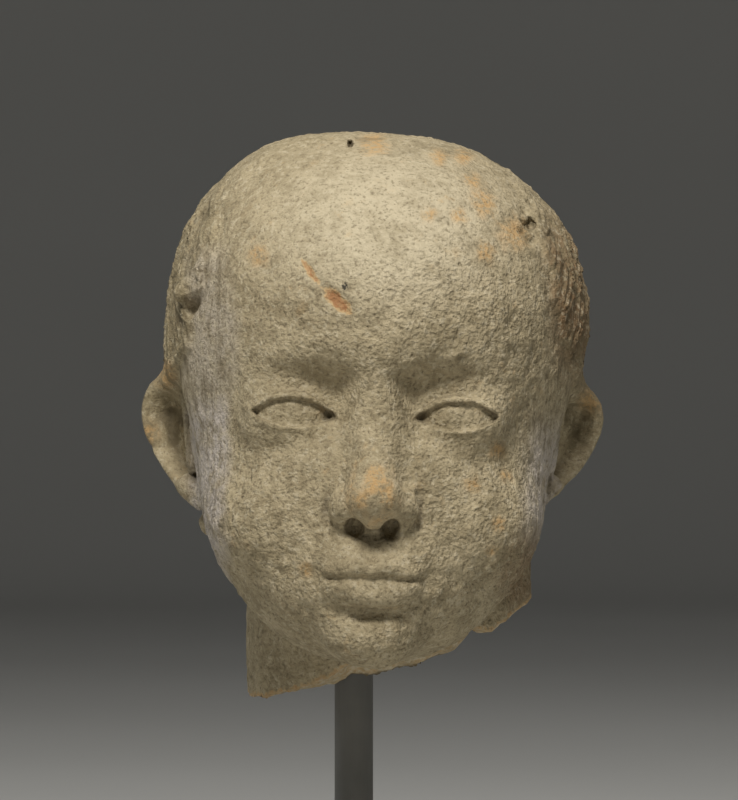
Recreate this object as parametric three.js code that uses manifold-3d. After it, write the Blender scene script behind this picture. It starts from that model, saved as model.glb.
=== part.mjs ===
import * as THREE from 'three';
import { mergeVertices } from 'three/addons/utils/BufferGeometryUtils.js';
import { SimplifyModifier } from 'three/addons/modifiers/SimplifyModifier.js';
import Module from 'manifold-3d';

// Driving sizes in mm. The head is shaped in its own upright frame, with the eye line at
// height 0, the face towards -Y and x 0 in the middle of the face.
const headBreadth = 139;
const headHeight = 1.25 * headBreadth;
const eyeToChin = 0.46 * headHeight;
const halfBreadth = headBreadth / 2;
const craniumMiddle = headHeight - eyeToChin - halfBreadth;
const craniumDepth = 86.5;
const underHair = 1.8;
const skull = [halfBreadth - underHair, craniumDepth - underHair, halfBreadth - underHair - 1.2];
const wall = 13;
const headTurn = THREE.MathUtils.degToRad(1.5);

const rodDiameter = 12.7;
const rodInHead = { x: -7, y: 10 };
const eyeLineHeight = 187;
const plateSide = 140;
const plateThickness = 10;
const plateChamfer = 1.5;
const rodChamfer = 0.8;
const touchGap = 0.3;

const neckMiddle = { x: 4.5, y: 17 };
const neckHalf = { x: 47, y: 39 };
const neckTop = -10;
const neckBottom = -110;
const neckLean = 0.09;

// Smooth joins of rounded masses
const blend = (a, b, k) => {
  const h = Math.max(k - Math.abs(a - b), 0) / k;
  return Math.min(a, b) - h * h * k * 0.25;
};
const carve = (a, b, k) => -blend(-a, b, k);
const smooth = (t) => {
  const c = THREE.MathUtils.clamp(t, 0, 1);
  return c * c * (3 - 2 * c);
};
const interpolate = (x, xs, ys) => {
  if (x <= xs[0]) return ys[0];
  for (let i = 1; i < xs.length; i += 1) {
    if (x <= xs[i]) return ys[i - 1] + ((ys[i] - ys[i - 1]) * (x - xs[i - 1])) / (xs[i] - xs[i - 1]);
  }
  return ys[ys.length - 1];
};
const ellipsoid = (x, y, z, c, r) => {
  const q = [(x - c[0]) / r[0], (y - c[1]) / r[1], (z - c[2]) / r[2]];
  const far = Math.hypot(...q) + 1e-6;
  const slope = Math.hypot(q[0] / r[0], q[1] / r[1], q[2] / r[2]) + 1e-6;
  return (far * (far - 1)) / slope;
};
// An ellipsoid whose outline seen from the front is squarer, by the power n
const egg = (x, y, z, c, r, n) => {
  const qx = Math.abs(x - c[0]) / r[0] + 1e-4;
  const qy = (y - c[1]) / r[1];
  const qz = Math.abs(z - c[2]) / r[2] + 1e-4;
  const ring = (qx ** n + qz ** n) ** (1 / n);
  const far = Math.hypot(ring, qy) + 1e-6;
  const gx = (qx ** (n - 1) * ring ** (2 - n)) / r[0];
  const gz = (qz ** (n - 1) * ring ** (2 - n)) / r[2];
  return (far * (far - 1)) / (Math.hypot(gx, gz, qy / r[1]) + 1e-6);
};
const roundCone = (x, y, z, a, b, ra, rb) => {
  const p = [x - a[0], y - a[1], z - a[2]];
  const s = [b[0] - a[0], b[1] - a[1], b[2] - a[2]];
  const long = s[0] * s[0] + s[1] * s[1] + s[2] * s[2];
  const t = THREE.MathUtils.clamp((p[0] * s[0] + p[1] * s[1] + p[2] * s[2]) / long, 0, 1);
  return Math.hypot(p[0] - t * s[0], p[1] - t * s[1], p[2] - t * s[2]) - (ra + t * (rb - ra));
};
const stroke = (x, y, z, path, radii) => {
  let d = Infinity;
  for (let i = 0; i + 1 < path.length; i += 1) {
    d = Math.min(d, roundCone(x, y, z, path[i], path[i + 1], radii[i], radii[i + 1]));
  }
  return d;
};
const along = (n) => Array.from({ length: n }, (_, i) => (2 * i) / (n - 1) - 1);

// Cranium, jaw, chin, cheeks and muzzle
const masses = (x, y, z) => {
  const ax = Math.abs(x);
  let d = egg(x, y, z, [0, 6, craniumMiddle], skull, 2.25);
  d = blend(d, ellipsoid(x, y, z, [-20, 8, 49], [39.6, 61, 39.6]), 8);
  d = carve(d, ellipsoid(x, y, z, [82, 0, 15], [15.8, 34, 18]), 8);
  d = carve(d, egg(ax, y, z, [84, -2, -7], [25.5, 27, 20], 4), 5);
  d = blend(d, ellipsoid(x, y, z, [0, -24, -26], [55.5, 53, 50]), 12);
  d = blend(d, ellipsoid(x, y, z, [0, -42, -52], [38.5, 36, 27]), 10);
  d = blend(d, ellipsoid(x, y, z, [0, -67, -69], [14, 12.8, 10.4]), 9);
  d = blend(d, ellipsoid(ax, y, z, [29, -48, -35], [22, 22, 18]), 9);
  return blend(d, ellipsoid(x, y, z, [0, -62.5, -48], [20, 18.5, 13.5]), 9);
};
const depthOf = (x, z) => {
  let near = -110;
  let far = 0;
  for (let y = near; y < far; y += 0.5) {
    if (masses(x, y, z) < 0) {
      far = y;
      near = y - 0.5;
      break;
    }
  }
  for (let i = 0; i < 20; i += 1) {
    const middle = (near + far) / 2;
    if (masses(x, middle, z) < 0) far = middle;
    else near = middle;
  }
  return far;
};
const on = (x, z, out) => [x, depthOf(x, z) - out, z];

// Eye
const eyeX = 26;
const eyeZ = -0.5;
const ballRadii = [14.6, 12, 12.6];
const lidRadii = [16.4, 13.6, 13.4];
const ballMiddle = [eyeX, depthOf(eyeX, eyeZ) + ballRadii[1] - 0.2, eyeZ];
const socket = { middle: [eyeX - 1, depthOf(eyeX, eyeZ) - 7, eyeZ + 3], radii: [19, 12, 11.5], tilt: 0.2 };
const halfEye = 12.6;
const lidRise = 4.8;
const lidFall = 3.6;
const cornerTilt = 0.03;
const arc = (u, half, rise) => {
  const r = (half * half + rise * rise) / (2 * rise);
  return Math.sqrt(Math.max(r * r - u * u, 0)) - (r - rise);
};
const onLid = (u, v, out) => {
  const q = Math.max(0.05, 1 - (u / lidRadii[0]) ** 2 - (v / lidRadii[2]) ** 2);
  return [eyeX + u, ballMiddle[1] - lidRadii[1] * Math.sqrt(q) - out, eyeZ + v + cornerTilt * u];
};
const lidSteps = along(13);
const upperRim = lidSteps.map((t) => onLid(halfEye * 1.04 * t, arc(halfEye * t, halfEye, lidRise) + 0.5, -0.2));
const lowerRim = lidSteps.map((t) => onLid(halfEye * 0.98 * t, -arc(halfEye * t, halfEye, lidFall) - 0.3, -0.4));
const creaseHalf = halfEye + 1.5;
const crease = lidSteps.map((t) => onLid(creaseHalf * t, arc(creaseHalf * t, creaseHalf, lidRise + 3.4) + 0.4, 0.5));
const creaseRadii = lidSteps.map((t) => 0.3 + 0.9 * (1 - t * t));
const upperRadii = lidSteps.map((t) => 0.4 + 0.7 * (1 - t * t));
const lowerRadii = lidSteps.map((t) => 0.4 + 0.6 * (1 - t * t));
const eye = (from, x, y, z) => {
  let d = carve(from, ellipsoid(x, y, z + socket.tilt * (x - eyeX), socket.middle, socket.radii), 9);
  d = blend(d, ellipsoid(x, y, z, ballMiddle, lidRadii), 4.5);
  d = carve(d, stroke(x, y, z, crease, creaseRadii), 1.6);
  d = blend(d, stroke(x, y, z, upperRim, upperRadii), 1.2);
  d = blend(d, stroke(x, y, z, lowerRim, lowerRadii), 1.4);
  const u = x - eyeX;
  const v = z - eyeZ - cornerTilt * u;
  const upperArc = (halfEye * halfEye + lidRise * lidRise) / (2 * lidRise);
  const lowerArc = (halfEye * halfEye + lidFall * lidFall) / (2 * lidFall);
  const above = Math.hypot(u, v - lidRise + upperArc) - upperArc;
  const below = Math.hypot(u, v + lidFall - lowerArc) - lowerArc;
  const opening = -blend(-above, -below, 2);
  const ball = ellipsoid(x, y, z, ballMiddle, ballRadii);
  const bevelled = opening - 0.8 * Math.max(ball, 0);
  d = carve(d, Math.max(bevelled, -ball - 0.5, y - ballMiddle[1]), 1.2);
  return blend(d, Math.max(ball, y - ballMiddle[1] - 4), 0.6);
};

// Nose
const noseBase = -36;
const bridge = on(0, 3, -5);
const tip = on(0, noseBase + 9.5, 6.2);
const wing = on(9, noseBase + 6.6, -1.6);
const wingGroove = [on(14.2, noseBase + 11.5, 0.6), on(14.4, noseBase + 2.5, 0.6)];
const nose = (from, x, y, z) => {
  const ax = Math.abs(x);
  let d = blend(from, roundCone(x, y, z, bridge, [0, tip[1] + 2, tip[2] + 4.5], 5.6, 6.6), 8);
  d = blend(d, ellipsoid(x, y, z, tip, [8.2, 7.8, 6.8]), 5.5);
  d = blend(d, ellipsoid(ax, y, z, wing, [5.6, 8.2, 5.8]), 4);
  d = blend(d, ellipsoid(x, y, z, [0, tip[1] + 3, noseBase + 3.2], [3, 6, 3.4]), 3);
  d = carve(d, roundCone(ax, y, z, wingGroove[0], wingGroove[1], 1, 1.2), 2);
  return carve(d, ellipsoid(ax, y, z, [5.4, tip[1] + 4.6, noseBase + 1.2], [2.8, 4.4, 3.6]), 1.4);
};

// Mouth
const mouthZ = -50.7;
const mouthHalf = 18;
const lipSteps = along(15);
const lipPath = (rise, out, sag, wave) => lipSteps.map((t) => {
  const bow = wave * Math.sin(Math.PI * Math.min(1, 2.1 * Math.abs(t))) * (1 - Math.abs(t));
  const z = mouthZ + rise * (1 - t * t) + bow - sag * t * t;
  return on(mouthHalf * t, z, out * (1 - 0.75 * t * t));
});
const upperLip = lipPath(3, -1.3, 0.2, 0.8);
const lowerLip = lipPath(-5, -2.1, 0.2, 0);
const lipLine = lipPath(-0.6, 1.3, 0.2, 0.8);
const upperLipRadii = lipSteps.map((t) => 0.3 + 3 * (1 - Math.abs(t) ** 1.8));
const lowerLipRadii = lipSteps.map((t) => 0.3 + 4 * (1 - Math.abs(t) ** 2.2));
const lineRadii = lipSteps.map((t) => 0.35 + 0.45 * (1 - t * t));
const corner = on(mouthHalf + 1, mouthZ - 0.8, 2);
const lipGroove = [on(0, noseBase - 2, 1.6), on(0, mouthZ + 6.6, 2.6)];
const mouth = (from, x, y, z) => {
  let d = blend(from, stroke(x, y, z, lowerLip, lowerLipRadii), 3.2);
  d = blend(d, stroke(x, y, z, upperLip, upperLipRadii), 2.8);
  d = carve(d, stroke(x, y, z, lipLine, lineRadii), 1.6);
  d = carve(d, ellipsoid(Math.abs(x), y, z, corner, [2.4, 2.4, 3]), 4);
  return carve(d, roundCone(x, y, z, lipGroove[0], lipGroove[1], 1.8, 2.4), 2.5);
};
const chinFold = on(0, -61.8, 4);
const face = (from, x, y, z) => {
  let d = carve(from, ellipsoid(x, y, z, chinFold, [12, 5.2, 3.4]), 6);
  d = eye(d, Math.abs(x), y, z);
  d = nose(d, x, y, z);
  return mouth(d, x, y, z);
};

// Hair: a thin cap with rows of overlapping comma-shaped locks laid out round the crown
const hairline = { z: [-60, -30, -15, -4, 2, 10, 20, 45, 60, 75, 90], y: [36, 24, 12, 8, 2, -14, -34, -41, -34, -25, -19] };
const crown = new THREE.Vector3(6, 38, 66).normalize();
const crownSide = new THREE.Vector3(1, 0, 0).addScaledVector(crown, -crown.x).normalize();
const crownBack = new THREE.Vector3().crossVectors(crown, crownSide);
const hairMiddle = [0, 6, 18];
const hairRadius = 72;
const rowPitch = 17;
const lockPitch = 12.5;
const lockLong = 31;
const lockCurl = 6.5;
const capThickness = 0.9;
const lockHeight = 1.9;
const chance = (a, b, c) => {
  const s = Math.sin(a * 12.9898 + b * 78.233 + c * 37.719) * 43758.5453;
  return s - Math.floor(s);
};
const lockAt = (arcLength, turn, ringRadius, row, column, count) => {
  const home = ((column % count) + count) % count;
  const long = lockLong * (0.85 + 0.3 * chance(row, home, 1));
  const t = (arcLength - row * rowPitch - 5 * (chance(row, home, 2) - 0.5)) / long;
  if (t <= 0 || t >= 1) return 0;
  const pitch = (2 * Math.PI * ringRadius) / count;
  const across = (turn - column - 0.5 - 0.3 * (chance(row, home, 3) - 0.5)) * pitch;
  const lean = chance(row, home, 4) < 0.8 ? 1 : -0.8;
  const side = Math.cos((2 * Math.PI * (home + 0.5)) / count) > 0 ? 1 : -1;
  const offset = across - side * lean * lockCurl * (t * t - 0.2);
  const halfWide = 0.62 * pitch * Math.sqrt(Math.min(1, t / 0.2)) * (1 - t ** 2.6) + 0.01;
  const q = offset / halfWide;
  if (Math.abs(q) >= 1) return 0;
  return (0.45 + 0.55 * t) * Math.sqrt(1 - q * q);
};
const locks = (x, y, z) => {
  const p = new THREE.Vector3(x - hairMiddle[0], (y - hairMiddle[1]) * 0.8, z - hairMiddle[2]).normalize();
  const angle = Math.acos(THREE.MathUtils.clamp(p.dot(crown), -1, 1));
  const phi = Math.atan2(p.dot(crownBack), p.dot(crownSide));
  const arcLength = angle * hairRadius;
  const top = Math.floor(arcLength / rowPitch);
  let height = 0;
  for (let row = top - 2; row <= top; row += 1) {
    const rowAngle = Math.max(0.12, Math.min((row * rowPitch + lockLong / 2) / hairRadius, 1.9));
    const count = Math.max(5, Math.round((2 * Math.PI * hairRadius * Math.sin(rowAngle)) / lockPitch));
    const turn = (phi / (2 * Math.PI) + 0.5) * count + 0.5 * row;
    for (let step = -1; step <= 1; step += 1) {
      const column = Math.floor(turn) + step;
      const ring = hairRadius * Math.max(0.05, Math.sin(angle));
      height = Math.max(height, lockAt(arcLength, turn, ring, row, column, count));
    }
  }
  return height;
};
const hairMask = (x, y, z) => {
  const wavy = 1.6 * Math.sin(0.23 * x + 0.31 * z) + 1.1 * Math.sin(0.41 * z - 0.2 * x);
  const nape = smooth((z + 60 + 0.12 * Math.abs(x) + wavy) / 8);
  const edge = 3 + 7 * smooth((z - 50) / 30);
  return smooth((y - interpolate(z, hairline.z, hairline.y) - wavy) / edge + 0.5) * nape;
};
const hairRelief = (x, y, z) => {
  const mask = hairMask(x, y, z);
  if (mask === 0) return 0;
  const worn = 1 - 0.75 * smooth((z - 58) / 22) * smooth((38 - y) / 30);
  return mask * (capThickness + worn * lockHeight * locks(x, y, z));
};

// Ears: one cupped sheet each, turned out from the side of the head
const earLean = THREE.MathUtils.degToRad(12);
const earFlare = THREE.MathUtils.degToRad(50);
const earThick = 3.8;
const ears = [
  { side: -1, tall: 1, foot: [56.3, -3, -10], dip: -1 },
  { side: 1, tall: 0.91, foot: [54.6, -3, -8.3], dip: -8 },
];
const earOutline = (u, v) => {
  const square = Math.abs((u - 11.5) / 14.5) ** 3.2 + Math.abs(v / 25.5) ** 3.2;
  const taper = 0.819 * (u - 25.2) - 0.573 * (v - 2);
  return carve((square ** (1 / 3.2) - 1) * 14.5, -taper, 8);
};
const earFaces = (ear, u, v) => {
  const o = earOutline(u, v);
  const rim = THREE.MathUtils.clamp((v + 18) / 10, 0, 1);
  const bend = 0.012 * (u - 10) ** 2 - 3 * Math.exp(-(((u - 8) / 5) ** 2) - ((v - ear.dip) / 7) ** 2);
  const bowl = 6.5 * rim * smooth((-o - 2.6) / 3);
  const roll = 1.2 * rim * Math.exp(-(((o + 1.6) / 1.4) ** 2));
  return {
    front: bend + earThick / 2 - bowl + roll,
    back: bend - earThick / 2 - 5.5 * rim * smooth((-o - 0.8) / 4.5),
  };
};
const earMiddle = [8, -2];
const earRadius = (angle) => {
  let r = 2;
  while (earOutline(earMiddle[0] + r * Math.cos(angle), earMiddle[1] + r * Math.sin(angle)) < 0) r += 0.05;
  return r;
};
const fromEar = (ear, u, v, w) => {
  const u0 = Math.cos(earLean) * u + Math.sin(earLean) * v;
  const v0 = -Math.sin(earLean) * u + Math.cos(earLean) * v;
  const px = Math.cos(earFlare) * u0 + Math.sin(earFlare) * w;
  const py = Math.sin(earFlare) * u0 - Math.cos(earFlare) * w;
  return [ear.side * (px + ear.foot[0]), py + ear.foot[1], v0 * ear.tall + ear.foot[2]];
};
const stub = { middle: [-52, 6, -37], radii: [4.6, 7, 5] };
const earRoots = (from, x, y, z) => {
  let d = from;
  for (const ear of ears) {
    const back = [ear.side * 54, 19, ear.foot[2] - 1];
    d = blend(d, ellipsoid(x, y, z, back, [9.5, 11, 17 * ear.tall]), 6);
  }
  return blend(d, ellipsoid(x, y, z, stub.middle, stub.radii), 3);
};

// The whole outside, with the neck, before the break and the hollow
const upright = (x, z) => [
  x * Math.cos(headTurn) - z * Math.sin(headTurn),
  x * Math.sin(headTurn) + z * Math.cos(headTurn),
];
const neck = (x, y, z) => {
  const back = neckMiddle.y - neckLean * (z + 60);
  const d = (Math.hypot((x - neckMiddle.x) / neckHalf.x, (y - back) / neckHalf.y) - 1) * neckHalf.y;
  return Math.max(d, z - neckTop, neckBottom - z);
};
// One tuft stands free of the hair beside the brow, with a wedge cut behind it
const tuft = { path: [on(-58.4, 44.4, 4), on(-61.6, 37.6, 5.2)], radii: [1.6, 3.6] };
const wedge = { path: [on(-55.6, 45, 2.6), on(-56.6, 37.5, 2.4), on(-60.4, 31.6, 2.6)], radii: [0.7, 1.9, 2.9] };
const templeLock = (from, x, y, z) => {
  const d = blend(from, stroke(x, y, z, tuft.path, tuft.radii), 1.5);
  return carve(d, stroke(x, y, z, wedge.path, wedge.radii), 1);
};
const outside = (x, y, z) => {
  const [lx, lz] = upright(x, z);
  let d = masses(lx, y, lz);
  if (d < 16 && y < -48 && Math.abs(lx) < 56 && lz < 24 && lz > -80) d = face(d, lx, y, lz);
  d = blend(d, neck(x, y, z), 4.5 + 14 * smooth((y - 5) / 45));
  if (Math.abs(d) < 8) d -= hairRelief(lx, y, lz);
  if (lx < -46 && y < -10 && lz > 22 && lz < 58) d = templeLock(d, lx, y, lz);
  return Math.abs(lx) > 40 ? earRoots(d, lx, y, lz) : d;
};
const inside = (x, y, z) => {
  let d = egg(x, y, z, [0, 6, craniumMiddle], skull.map((r) => r - wall), 2.1);
  d = blend(d, ellipsoid(x, y, z, [0, -20, -24], [43, 42, 34]), 20);
  const qx = (x - neckMiddle.x) / (neckHalf.x - wall);
  const qy = (y - neckMiddle.y) / (neckHalf.y - wall);
  const tube = (Math.hypot(qx, qy) - 1) * (neckHalf.y - wall);
  return blend(d, Math.max(tube, z - 10, neckBottom - 15 - z), 14);
};

// The broken lower edge: a ragged slope, higher at the front edge and at the viewer's right
const breakLine = {
  x: [-50, -39.6, -15, -8, 0, 6.6, 14, 26, 31, 38, 51, 60],
  z: [-95, -93.4, -88, -85.8, -87, -84.8, -82, -77, -70.5, -70.3, -61.7, -60],
};
const frontRise = { x: [-30, -12, 0, 20, 30, 34, 50], z: [0, 4, 8, 7, 4, 0, 0] };
const breakHeight = (x, y) => {
  const front = smooth((-5 - y) / 13) * interpolate(x, frontRise.x, frontRise.z);
  const back = THREE.MathUtils.clamp((y - 5) / 40, 0, 1);
  const lumps = 1.6 * Math.sin(0.21 * x + 0.11 * y) * Math.sin(0.16 * y + 0.9) + 0.9 * Math.sin(0.47 * x - 0.33 * y);
  const underJaw = 1.6 * Math.max(0, -27 - y);
  return interpolate(x, breakLine.x, breakLine.z) + front + back * (3.5 + lumps) - underJaw;
};

// Meshes
const centre = new THREE.Vector3(0, 10, -10);
const gathers = [
  { at: [0, -85, -28], pull: 0.45, reach: 0.7 },
  { at: [eyeX, -78, eyeZ], pull: 0.45, reach: 0.22 },
  { at: [-eyeX, -78, eyeZ], pull: 0.45, reach: 0.22 },
];
const plain = (geometry) => {
  geometry.deleteAttribute('normal');
  geometry.deleteAttribute('uv');
  return mergeVertices(geometry, 1e-5);
};
const reshape = (geometry, move) => {
  const position = geometry.attributes.position;
  const p = new THREE.Vector3();
  for (let i = 0; i < position.count; i += 1) {
    p.fromBufferAttribute(position, i);
    move(p);
    position.setXYZ(i, p.x, p.y, p.z);
  }
  return geometry;
};
const surfaceAlong = (field, direction, reach) => {
  let r = reach;
  const value = (s) => field(
    centre.x + s * direction.x,
    centre.y + s * direction.y,
    centre.z + s * direction.z,
  );
  let d = value(r);
  while (d > 0 && r > 1) {
    r -= THREE.MathUtils.clamp(0.6 * d, 0.25, 6);
    d = value(r);
  }
  let inner = r;
  let outer = r + 6;
  for (let s = r; s <= r + 6; s += 0.25) {
    if (value(s) > 0) {
      outer = s;
      break;
    }
    inner = s;
  }
  for (let i = 0; i < 14; i += 1) {
    const middle = (inner + outer) / 2;
    if (value(middle) < 0) inner = middle;
    else outer = middle;
  }
  return inner;
};
const moulded = (detail, field, reach, pulls) => reshape(plain(new THREE.IcosahedronGeometry(1, detail)), (p) => {
  for (const gather of pulls) {
    const goal = new THREE.Vector3(...gather.at).sub(centre).normalize();
    const away = p.distanceToSquared(goal) / (gather.reach * gather.reach);
    p.lerp(goal, gather.pull * Math.exp(-away)).normalize();
  }
  p.multiplyScalar(surfaceAlong(field, p, reach)).add(centre);
});
const earMesh = (ear) => reshape(plain(new THREE.SphereGeometry(1, 64, 28)), (p) => {
  const share = Math.min(1, Math.hypot(p.x, p.z));
  const angle = -Math.atan2(p.z, p.x) * ear.side;
  const r = earRadius(angle) * share;
  const u = earMiddle[0] + r * Math.cos(angle);
  const v = earMiddle[1] + r * Math.sin(angle);
  const { front, back } = earFaces(ear, u, v);
  const half = ((front - back) / 2) * Math.sqrt(Math.max(0, 1 - share ** 6)) * Math.sign(p.y);
  const [lx, y, lz] = fromEar(ear, u, v, (front + back) / 2 + half);
  p.set(lx * Math.cos(headTurn) + lz * Math.sin(headTurn), y, lz * Math.cos(headTurn) - lx * Math.sin(headTurn));
});
const breakBox = { x: 150, y: 130, z: 70, middle: [4, 18, -135] };
const breakMesh = () => {
  const box = new THREE.BoxGeometry(breakBox.x, breakBox.y, breakBox.z, 75, 65, 1);
  return reshape(plain(box), (p) => {
    const top = p.z > 0;
    p.add(new THREE.Vector3(...breakBox.middle));
    if (top) p.z = breakHeight(p.x, p.y);
  });
};

const wasm = await Module();
wasm.setup();
const solidOf = (geometry) => new wasm.Manifold(new wasm.Mesh({
  numProp: 3,
  vertProperties: new Float32Array(geometry.attributes.position.array),
  triVerts: new Uint32Array(geometry.index.array),
}));
const geometryOf = (solid) => {
  const mesh = solid.getMesh();
  const geometry = new THREE.BufferGeometry();
  geometry.setAttribute('position', new THREE.BufferAttribute(new Float32Array(mesh.vertProperties), 3));
  geometry.setIndex(new THREE.BufferAttribute(new Uint32Array(mesh.triVerts), 1));
  geometry.computeVertexNormals();
  return geometry;
};
const headTriangles = 9200;
const headSolid = () => {
  let solid = solidOf(moulded(64, outside, 150, gathers));
  for (const ear of ears) solid = solid.add(solidOf(earMesh(ear)));
  solid = solid.subtract(solidOf(moulded(11, inside, 150, [])));
  return solid.subtract(solidOf(breakMesh()));
};
const slimmed = async (geometry, triangles) => {
  const merged = plain(geometry);
  const spare = merged.attributes.position.count - triangles / 2;
  const slim = await new SimplifyModifier().modify(merged, spare);
  slim.computeVertexNormals();
  return slim;
};

const named = (name, geometry, color, roughness, metalness) => {
  const mesh = new THREE.Mesh(geometry, new THREE.MeshStandardMaterial({ color, roughness, metalness }));
  mesh.name = name;
  return mesh;
};
const head = named('head', await slimmed(geometryOf(headSolid()), headTriangles), 0xa89878, 0.92, 0);
head.geometry.translate(-rodInHead.x, -rodInHead.y, eyeLineHeight);

const ceiling = () => {
  let lowest = Infinity;
  for (let turn = 0; turn < 2 * Math.PI; turn += Math.PI / 8) {
    const x = rodInHead.x + (rodDiameter / 2) * Math.cos(turn);
    const y = rodInHead.y + (rodDiameter / 2) * Math.sin(turn);
    let z = 40;
    while (inside(x, y, z) < 0) z += 0.05;
    lowest = Math.min(lowest, z);
  }
  return lowest;
};
const rodBottom = plateThickness + touchGap;
const rodTop = eyeLineHeight + ceiling() - touchGap - 0.9;
const rodRadius = rodDiameter / 2;
const rodProfile = [
  new THREE.Vector2(0, rodBottom),
  new THREE.Vector2(rodRadius, rodBottom),
  new THREE.Vector2(rodRadius, rodTop - rodChamfer),
  new THREE.Vector2(rodRadius - rodChamfer, rodTop),
  new THREE.Vector2(0, rodTop),
];
const rodGeometry = plain(new THREE.LatheGeometry(rodProfile, 32));
rodGeometry.rotateX(Math.PI / 2);
rodGeometry.computeVertexNormals();
const rod = named('rod', rodGeometry, 0x3b3b3a, 0.55, 0.6);

const plateOutline = () => {
  const half = plateSide / 2 - plateChamfer;
  const shape = new THREE.Shape();
  shape.moveTo(-half, -half);
  shape.lineTo(half, -half);
  shape.lineTo(half, half);
  shape.lineTo(-half, half);
  shape.closePath();
  return shape;
};
const plateGeometry = plain(new THREE.ExtrudeGeometry(plateOutline(), {
  depth: plateThickness - 2 * plateChamfer,
  bevelEnabled: true,
  bevelThickness: plateChamfer,
  bevelSize: plateChamfer,
  bevelSegments: 2,
}));
plateGeometry.translate(0, 0, plateChamfer);
plateGeometry.computeVertexNormals();
const plate = named('base_plate', plateGeometry, 0x2f2f2e, 0.6, 0.5);

const part = new THREE.Group();
part.name = 'terracotta_head';
part.add(head, rod, plate);
export default part;
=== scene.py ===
"""A broken terracotta head of a young child on a round metal rod with a square foot."""

import math

import bmesh
import bpy
import numpy as np
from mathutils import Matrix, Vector


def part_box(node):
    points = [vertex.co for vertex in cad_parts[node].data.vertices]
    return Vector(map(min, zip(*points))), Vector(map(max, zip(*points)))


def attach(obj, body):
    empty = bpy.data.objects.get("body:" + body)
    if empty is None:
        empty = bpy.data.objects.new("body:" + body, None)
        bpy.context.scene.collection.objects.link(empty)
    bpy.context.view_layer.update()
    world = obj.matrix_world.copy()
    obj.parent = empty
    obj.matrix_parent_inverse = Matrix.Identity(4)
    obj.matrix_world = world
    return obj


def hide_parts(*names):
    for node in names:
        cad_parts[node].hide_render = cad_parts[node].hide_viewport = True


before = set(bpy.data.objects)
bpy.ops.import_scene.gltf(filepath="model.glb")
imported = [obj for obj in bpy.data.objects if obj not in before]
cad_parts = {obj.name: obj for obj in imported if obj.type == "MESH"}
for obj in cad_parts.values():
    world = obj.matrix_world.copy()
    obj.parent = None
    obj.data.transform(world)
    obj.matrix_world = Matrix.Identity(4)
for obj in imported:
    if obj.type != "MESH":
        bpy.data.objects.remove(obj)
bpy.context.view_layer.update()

# Sizes in mm. The head is shaped in its own upright frame, with the eye line at height 0,
# the face towards -Y and x 0 in the middle of the face.
HEAD_BREADTH = 139.0
HEAD_HEIGHT = 1.25 * HEAD_BREADTH
EYE_TO_CHIN = 0.46 * HEAD_HEIGHT
HALF_BREADTH = HEAD_BREADTH / 2
CRANIUM_Z = HEAD_HEIGHT - EYE_TO_CHIN - HALF_BREADTH
CRANIUM_DEPTH = 86.5
UNDER_HAIR = 1.8
SKULL = (HALF_BREADTH - UNDER_HAIR, CRANIUM_DEPTH - UNDER_HAIR, HALF_BREADTH - UNDER_HAIR - 1.2)
WALL = 13.0
TURN = math.radians(1.5)
ROD_X, ROD_Y = -7.0, 10.0
EYE_LINE = 187.0
NECK_X, NECK_Y = 4.5, 17.0
NECK_HALF_X, NECK_HALF_Y = 47.0, 39.0
NECK_TOP, NECK_BOTTOM, NECK_LEAN = -10.0, -110.0, 0.09
MM = 0.001


# Smooth joins of rounded masses
def blend(a, b, k):
    h = np.maximum(k - np.abs(a - b), 0.0) / k
    return np.minimum(a, b) - h * h * k * 0.25


def carve(a, b, k):
    return -blend(-a, b, k)


def smooth(t):
    c = np.clip(t, 0.0, 1.0)
    return c * c * (3 - 2 * c)


def distance(x, y, z):
    return np.sqrt(x * x + y * y + z * z)


def ellipsoid(x, y, z, c, r):
    qx, qy, qz = (x - c[0]) / r[0], (y - c[1]) / r[1], (z - c[2]) / r[2]
    far = distance(qx, qy, qz) + 1e-6
    return far * (far - 1.0) / (distance(qx / r[0], qy / r[1], qz / r[2]) + 1e-6)


def egg(x, y, z, c, r, n):
    """An ellipsoid whose outline seen from the front is squarer, by the power n."""
    qx = np.abs(x - c[0]) / r[0] + 1e-4
    qy = (y - c[1]) / r[1]
    qz = np.abs(z - c[2]) / r[2] + 1e-4
    ring = (qx**n + qz**n) ** (1.0 / n)
    far = np.sqrt(ring * ring + qy * qy) + 1e-6
    gx = qx ** (n - 1) * ring ** (2 - n) / r[0]
    gz = qz ** (n - 1) * ring ** (2 - n) / r[2]
    return far * (far - 1.0) / (distance(gx, gz, qy / r[1]) + 1e-6)


def round_cone(x, y, z, a, b, ra, rb):
    px, py, pz = x - a[0], y - a[1], z - a[2]
    sx, sy, sz = b[0] - a[0], b[1] - a[1], b[2] - a[2]
    t = np.clip((px * sx + py * sy + pz * sz) / (sx * sx + sy * sy + sz * sz), 0.0, 1.0)
    return distance(px - t * sx, py - t * sy, pz - t * sz) - (ra + t * (rb - ra))


def stroke(x, y, z, path, radii):
    d = round_cone(x, y, z, path[0], path[1], radii[0], radii[1])
    for i in range(1, len(path) - 1):
        d = np.minimum(d, round_cone(x, y, z, path[i], path[i + 1], radii[i], radii[i + 1]))
    return d


def where_near(d, near, change, x, y, z):
    """Runs a change on the points that are near it alone."""
    if near.any():
        d = d.copy()
        d[near] = change(d[near], x[near], y[near], z[near])
    return d


def oval(x, z, middle, half_sizes, edge):
    """1 inside an oval with a soft edge, 0 outside it, the same at every depth."""
    away = distance((x - middle[0]) / half_sizes[0], (z - middle[1]) / half_sizes[1], 0.0)
    return smooth(edge - away)


def columns(points):
    """The x, y and z of many points, each in an array of its own."""
    return [points[:, i].astype(np.float32) for i in range(3)]


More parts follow.
